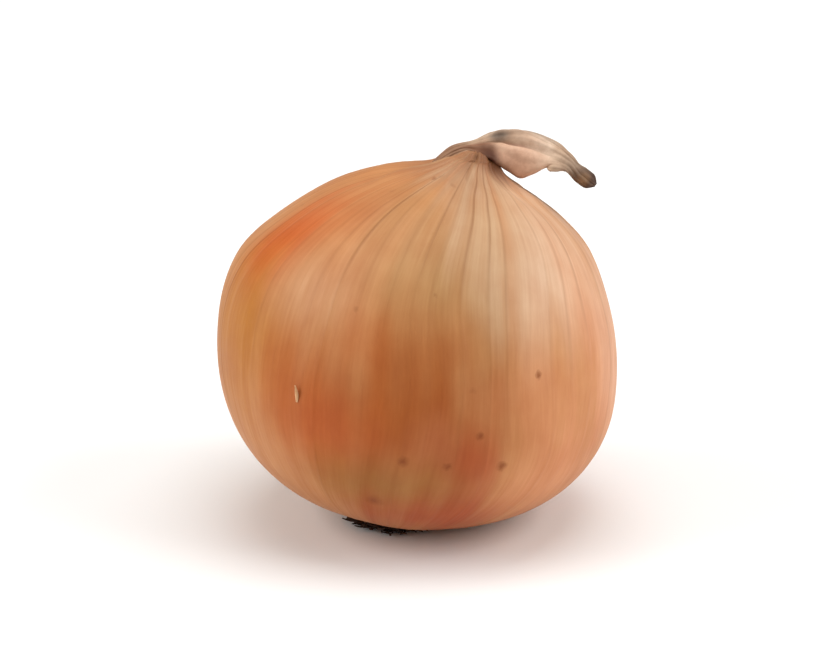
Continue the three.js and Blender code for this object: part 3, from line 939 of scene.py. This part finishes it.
def new_material(name):
    """An empty node material, its Principled shader and its object coordinates."""
    material = bpy.data.materials.new(name)
    material.use_nodes = True
    material.node_tree.nodes.clear()
    shader = add_node(material, "BsdfPrincipled")
    add_node(material, "OutputMaterial", {"Surface": shader.outputs["BSDF"]})
    place = add_node(material, "TexCoord").outputs["Object"]
    return material, shader, place


def finish_shader(material, shader, linked, numbers):
    """Links outputs to the shader's sockets and sets its uniform numbers on them."""
    for socket, output in linked.items():
        material.node_tree.links.new(output, shader.inputs[socket])
    for socket, number in numbers.items():
        shader.inputs[socket].default_value = number


def rgba(colour):
    """Three linear numbers as a colour with full opacity."""
    return (*[float(x) for x in colour], 1.0)


def spread(material, value, low, high, to_low, to_high):
    """A value from low to high mapped to a new range, held at its ends."""
    node = add_node(material, "MapRange",
                    {"Value": value, "From Min": low, "From Max": high,
                     "To Min": to_low, "To Max": to_high})
    return node.outputs["Result"]


def blend_colour(material, share, first, second, way="MIX"):
    """Two colours mixed by a share, plainly or by multiplying."""
    node = add_node(material, "Mix", {0: share, 6: first, 7: second},
                    data_type="RGBA", blend_type=way)
    return node.outputs[2]


# %% [markdown]
# ### Dry onion skin
# The skin is the dried cell walls of one leaf, a tenth of a millimetre thick, satin
# because its fibres all run one way. To the eye that gives broad soft highlights, fine
# streaks from root to neck, darker veins that show most at the shoulder, and a few brown
# freckles. A picture of skin wrapped round it would stretch at the neck, while a noise
# taken on the squashed tube follows the fibres everywhere. Its IOR is that of cellulose,
# about 1.47.

# %% Sizes of the patterns, in mm
MOTTLE = 7.7  # soft clouds of the skin
CRUMBS = 1.1  # lumps of dried cells
FRECKLE_PITCH = 4.5  # one freckle at most in each such cell
FRECKLE_REGIONS = 13  # freckles come in groups this wide
RAGGED = 1.3  # how far the lumps tear a freckle's border
FIBRE_WIDTH = 0.8  # the real ones are 0.1 to 0.2, too fine to be seen from here


def noise_scale(size):
    """The scale at which a noise has features of about a size in mm."""
    return 1 / (size * MM)


print("fibres round the bulb:", round(2 * math.pi * BULB_RADIUS / FIBRE_WIDTH))

# %% [markdown]
# ### Freckles
# Freckles are small stains in the skin. Most are scattered: the cells of a Voronoi pattern
# give one dot each, and a slow noise lets only a few regions keep theirs. Those that show
# in the photograph are marks round fixed points, which were found by following their
# pixels back through the camera. The place from which both kinds are measured is shaken by
# a fine noise, so that no freckle is a clean disc.

# %% Freckles
def on_skin(degrees, height):
    """The bulb's surface point, in metres, nearest to a place round it and a height. Rows
    as close to the axis as the root socket are kept out by a large penalty."""
    column = np.argmin(np.abs(turn - math.radians(degrees % 360)))
    row = np.argmin(np.abs(row_height - height) + 100 * (row_radius < SOCKET_RADIUS))
    return tuple(float(x) * MM for x in on_table(surface[row, column]))


# The freckles in view: the place on the skin and the radius in mm.
SEEN_FRECKLES = [
    (on_skin(-72, -5.3), 1.1),
    (on_skin(-64, -11), 1.3),
    (on_skin(-92, -12), 1.4),
    (on_skin(-80, -11.8), 1.1),
    (on_skin(-99, -21.5), 2.0),
    (on_skin(-52, 6.5), 0.9),
]


def with_freckles(material, place, colour):
    """A colour with scattered dots, whose strength falls off with the distance from the
    middle of a cell, and with marks that fall off with the distance from a fixed point."""
    crumble = add_node(material, "TexNoise",
                       {"Vector": place, "Scale": noise_scale(CRUMBS), "Detail": 3})
    shift = add_node(material, "VectorMath",
                     {0: crumble.outputs["Color"], 1: (0.5, 0.5, 0.5)}, operation="SUBTRACT")
    torn = add_node(material, "VectorMath", {0: shift.outputs["Vector"],
                                             1: (RAGGED * MM,) * 3, 2: place},
                    operation="MULTIPLY_ADD").outputs["Vector"]
    cells = add_node(material, "TexVoronoi",
                     {"Vector": torn, "Scale": noise_scale(FRECKLE_PITCH)})
    rare = add_node(material, "TexNoise",
                    {"Vector": place, "Scale": noise_scale(FRECKLE_REGIONS), "Detail": 1})
    rare_share = spread(material, rare.outputs["Fac"], 0.61, 0.7, 0, 1)
    dot = spread(material, cells.outputs["Distance"], 0.05, 0.17, 1, 0)
    freckle = add_node(material, "Math", {0: dot, 1: rare_share},
                       operation="MULTIPLY").outputs[0]
    freckle = spread(material, freckle, 0, 1, 0, 0.45)
    colour = blend_colour(material, freckle, colour, rgba(linear("#7A4526")))
    for middle, radius in SEEN_FRECKLES:
        apart = add_node(material, "VectorMath", {0: torn, 1: middle}, operation="DISTANCE")
        mark = spread(material, apart.outputs["Value"], 0.25 * MM, radius * MM, 0.7, 0)
        colour = blend_colour(material, mark, colour, rgba(linear("#7A380C")))
    return colour


# %% Skin material
CELLULOSE_IOR = 1.47
SKIN_GLOSS = 0.22  # dust and loose fibres take away more than half of the shine


def papery_onion_skin():
    """The painted tint, darkened along fibres, clouds and veins, with freckles on it. The
    fibres also roughen the satin and lift it a little."""
    material, shader, place = new_material("papery_onion_skin")
    numbers = {
        name: add_node(material, "Attribute", attribute_name=name)
        for name in ("tint", "vein_line", "vein_show", "fibre")
    }
    tube = numbers["fibre"].outputs["Vector"]
    fibres = add_node(material, "TexNoise", {"Vector": tube, "Scale": BULB_RADIUS / FIBRE_WIDTH,
                                             "Detail": 5, "Roughness": 0.6})
    broad = add_node(material, "TexNoise", {"Vector": tube, "Detail": 3,
                                            "Scale": BULB_RADIUS / (6 * FIBRE_WIDTH)})
    mottle = add_node(material, "TexNoise",
                      {"Vector": place, "Scale": noise_scale(MOTTLE), "Detail": 4})
    colour = numbers["tint"].outputs["Color"]
    streak = spread(material, fibres.outputs["Fac"], 0.3, 0.7, 0, 0.22)
    colour = blend_colour(material, streak, colour, rgba(linear("#C9A27C")), "MULTIPLY")
    wide_streak = spread(material, broad.outputs["Fac"], 0.35, 0.65, 0, 0.21)
    colour = blend_colour(material, wide_streak, colour, rgba(linear("#D9AE86")), "MULTIPLY")
    cloud = spread(material, mottle.outputs["Fac"], 0.35, 0.7, 0, 0.3)
    colour = blend_colour(material, cloud, colour, rgba(linear("#E2BFA2")), "MULTIPLY")
    line = spread(material, numbers["vein_line"].outputs["Fac"], 0.72, 0.98, 0, 1)
    shown = add_node(material, "Math", {0: line, 1: numbers["vein_show"].outputs["Fac"]},
                     operation="MULTIPLY").outputs[0]
    shown = spread(material, shown, 0, 1, 0, 0.6)
    colour = blend_colour(material, shown, colour, rgba(linear("#A88A5E")), "MULTIPLY")
    colour = with_freckles(material, place, colour)
    rough = spread(material, fibres.outputs["Fac"], 0.3, 0.7, 0.42, 0.54)
    height = add_node(material, "Math",
                      {0: fibres.outputs["Fac"], 1: mottle.outputs["Fac"]},
                      operation="ADD").outputs[0]
    bump = add_node(material, "Bump",
                    {"Strength": 0.3, "Distance": 0.1 * MM, "Height": height})
    finish_shader(
        material, shader,
        {"Base Color": colour, "Roughness": rough, "Normal": bump.outputs["Normal"]},
        {"IOR": CELLULOSE_IOR, "Specular IOR Level": SKIN_GLOSS},
    )
    return material


# %% [markdown]
# ### Inner side of the skin
# Where the skin has split, its paler inner side shows: the same dry cell walls, but not yet
# browned by light. It is matter than the outside and faintly mottled, for which one fine
# noise is enough.

# %% Flake material
def pale_inner_skin():
    """Two pale tans mixed by fine lumps, and a matt surface."""
    material, shader, place = new_material("pale_inner_skin")
    grain = add_node(material, "TexNoise",
                     {"Vector": place, "Scale": noise_scale(CRUMBS), "Detail": 4})
    colour = blend_colour(material, spread(material, grain.outputs["Fac"], 0.35, 0.65, 0, 1),
                          rgba(linear("#D8A97C")), rgba(linear("#B98453")))
    finish_shader(material, shader, {"Base Color": colour},
                  {"Roughness": 0.6, "IOR": CELLULOSE_IOR})
    return material


# %% [markdown]
# ### Withered leaf
# The dead leaf is duller than the skin: bleached to grey tan, pinkish where it is still
# folded, and brown at its shrivelled tip. Fine parallel veins run along it, and small
# wrinkles break up the light, so that it looks matt. Both are finer than the modelled
# folds, so a sine across the leaf draws the veins, and a noise the wrinkles.

# %% Leaf material
LEAF_VEINS = 15  # side by side across the leaf
WRINKLES = 2.4  # mm
BLOTCHES = 5.9  # mm


def withered_onion_leaf():
    """The painted tint, mottled by blotches, with thin darker veins and fine wrinkles."""
    material, shader, place = new_material("withered_onion_leaf")
    numbers = {
        name: add_node(material, "Attribute", attribute_name=name)
        for name in ("tint", "place")
    }
    split = add_node(material, "SeparateXYZ", {0: numbers["place"].outputs["Vector"]})
    wrinkle = add_node(material, "TexNoise",
                       {"Vector": place, "Scale": noise_scale(WRINKLES), "Detail": 6,
                        "Roughness": 0.65})
    blotch = add_node(material, "TexNoise",
                      {"Vector": place, "Scale": noise_scale(BLOTCHES), "Detail": 3})
    veins = add_node(material, "Math", {0: split.outputs["Y"], 1: math.pi * LEAF_VEINS},
                     operation="MULTIPLY").outputs[0]
    veins = add_node(material, "Math", {0: veins}, operation="SINE").outputs[0]
    cloud = spread(material, blotch.outputs["Fac"], 0.35, 0.65, 0, 0.7)
    colour = blend_colour(material, cloud, numbers["tint"].outputs["Color"],
                          rgba(linear("#DCC8B8")), "MULTIPLY")
    line = spread(material, veins, 0.2, 1, 0, 0.22)
    colour = blend_colour(material, line, colour, rgba(linear("#8F7058")))
    grain = spread(material, wrinkle.outputs["Fac"], 0.35, 0.7, 0, 0.5)
    colour = blend_colour(material, grain, colour, rgba(linear("#B59C86")), "MULTIPLY")
    height = add_node(material, "Math", {0: veins, 1: 0.12, 2: wrinkle.outputs["Fac"]},
                      operation="MULTIPLY_ADD").outputs[0]
    bump = add_node(material, "Bump", {"Strength": 0.6, "Distance": 0.25 * MM,
                                       "Height": height})
    finish_shader(material, shader,
                  {"Base Color": colour, "Normal": bump.outputs["Normal"]},
                  {"Roughness": 0.7, "IOR": 1.45})
    return material


# %% [markdown]
# ### Dry root
# Cork and dead rootlets are matt. They are painted almost black, partly their own dark
# brown and partly painted shade from under the bulb, with paler flecks where the surface
# has rubbed off. They are so small and dark that two noises, a slow one for uneven
# darkness and a fine one for the flecks, are enough.

# %% Root material
ROOT_MOTTLE = 4.8  # mm


def dry_onion_root():
    """Two near-black browns, partly painted shade, mixed by a slow noise, with paler flecks
    where the lumps stand out.
    """
    material, shader, place = new_material("dry_onion_root")
    grain = add_node(material, "TexNoise",
                     {"Vector": place, "Scale": noise_scale(CRUMBS), "Detail": 5})
    root_mottle = add_node(material, "TexNoise",
                     {"Vector": place, "Scale": noise_scale(ROOT_MOTTLE), "Detail": 2})
    # Both browns are near-black: partly the roots' own dark brown, partly painted shade.
    colour = blend_colour(material, spread(material, root_mottle.outputs["Fac"], 0.35, 0.65, 0, 1),
                          rgba(linear("#26110A")), rgba(linear("#4A3022")))
    fleck = spread(material, grain.outputs["Fac"], 0.5, 0.75, 0, 0.45)
    colour = blend_colour(material, fleck, colour, rgba(linear("#7A5A3E")))
    bump = add_node(material, "Bump", {"Strength": 0.7, "Distance": 0.2 * MM,
                                       "Height": grain.outputs["Fac"]})
    finish_shader(material, shader,
                  {"Base Color": colour, "Normal": bump.outputs["Normal"]},
                  {"Roughness": 0.88})
    return material


# %% [markdown]
# ## Joining the frame
# Each piece gets its finish, rides on the part's one body, and stands for its solid.

# %% Finishes and frame
root_material = dry_onion_root()
DRESSING = [
    (bulb, papery_onion_skin(), "bulb_skin", "bulb"),
    (flake, pale_inner_skin(), "bulb_skin", "bulb"),
    (leaf, withered_onion_leaf(), "dried_leaf", "withered_leaf"),
    (disc, root_material, "dry_root", "root_plate"),
    (rootlets, root_material, "dry_root", "root_plate"),
]
for piece, material, slot, node in DRESSING:
    piece.data.materials.append(material)
    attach(piece, "root")
    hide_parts(node)

# %% [markdown]
# ## Stage, light and camera
# The onion stands on a plain pale floor. Two broad soft lights at its sides and one above
# give it bright flanks and a warm darker middle, where small lamps would throw hard
# shadows. The camera looks down by twenty degrees with a long lens, closer than the
# photograph, so that the skin can be seen.

# %% Floor and light
FLOOR_HALF = 6.0  # m
FLOOR_DROP = 0.02  # mm below the onion, so that the two faces do not coincide


def make_floor():
    """One large square just under the onion."""
    mesh = bpy.data.meshes.new("floor")
    corners = [(FLOOR_HALF * x, FLOOR_HALF * y, -FLOOR_DROP * MM)
               for x, y in ((-1, -1), (1, -1), (1, 1), (-1, 1))]
    mesh.from_pydata(corners, [], [(0, 1, 2, 3)])
    floor = bpy.data.objects.new("floor", mesh)
    bpy.context.scene.collection.objects.link(floor)
    material, shader, _ = new_material("pale_paper")
    finish_shader(material, shader, {},
                  {"Base Color": rgba(linear("#F4F3F1")), "Roughness": 0.9})
    floor.data.materials.append(material)


def soft_light(name, place, size, power):
    """A square area light that faces the onion: its place and size in metres, and its
    power in watts."""
    light = bpy.data.lights.new(name, "AREA")
    light.size, light.energy = size, power
    lamp = bpy.data.objects.new(name, light)
    lamp.location = place
    towards = Vector((0, 0, 0.035)) - Vector(place)
    lamp.rotation_euler = towards.to_track_quat("-Z", "Y").to_euler()
    lamp.visible_camera = False
    bpy.context.scene.collection.objects.link(lamp)


make_floor()
soft_light("left_softbox", (-1.0, -0.15, 0.6), 0.8, 9)
soft_light("right_softbox", (1.0, -0.2, 0.7), 0.9, 10.6)
soft_light("top_softbox", (0.05, 0.1, 1.2), 1.0, 9.4)
world = bpy.data.worlds.new("studio")
world.use_nodes = True
world.node_tree.nodes["Background"].inputs["Color"].default_value = rgba(linear("#F7F7F7"))
world.node_tree.nodes["Background"].inputs["Strength"].default_value = 0.26
bpy.context.scene.world = world
bpy.context.scene.view_settings.view_transform = "Standard"

# %% Camera
CAMERA_HEIGHT_ANGLE = math.radians(20)
CAMERA_DISTANCE = 0.7  # m
LENS = 158  # mm

target = Vector((-3.0 * MM, 0, 35.5 * MM))
back = Vector((0, -math.cos(CAMERA_HEIGHT_ANGLE), math.sin(CAMERA_HEIGHT_ANGLE)))
camera = bpy.data.objects.new("camera", bpy.data.cameras.new("camera"))
camera.data.lens = LENS
camera.location = target + back * CAMERA_DISTANCE
camera.rotation_euler = (-back).to_track_quat("-Z", "Y").to_euler()
bpy.context.scene.collection.objects.link(camera)
bpy.context.scene.camera = camera
print("camera at", [round(x, 3) for x in camera.location])
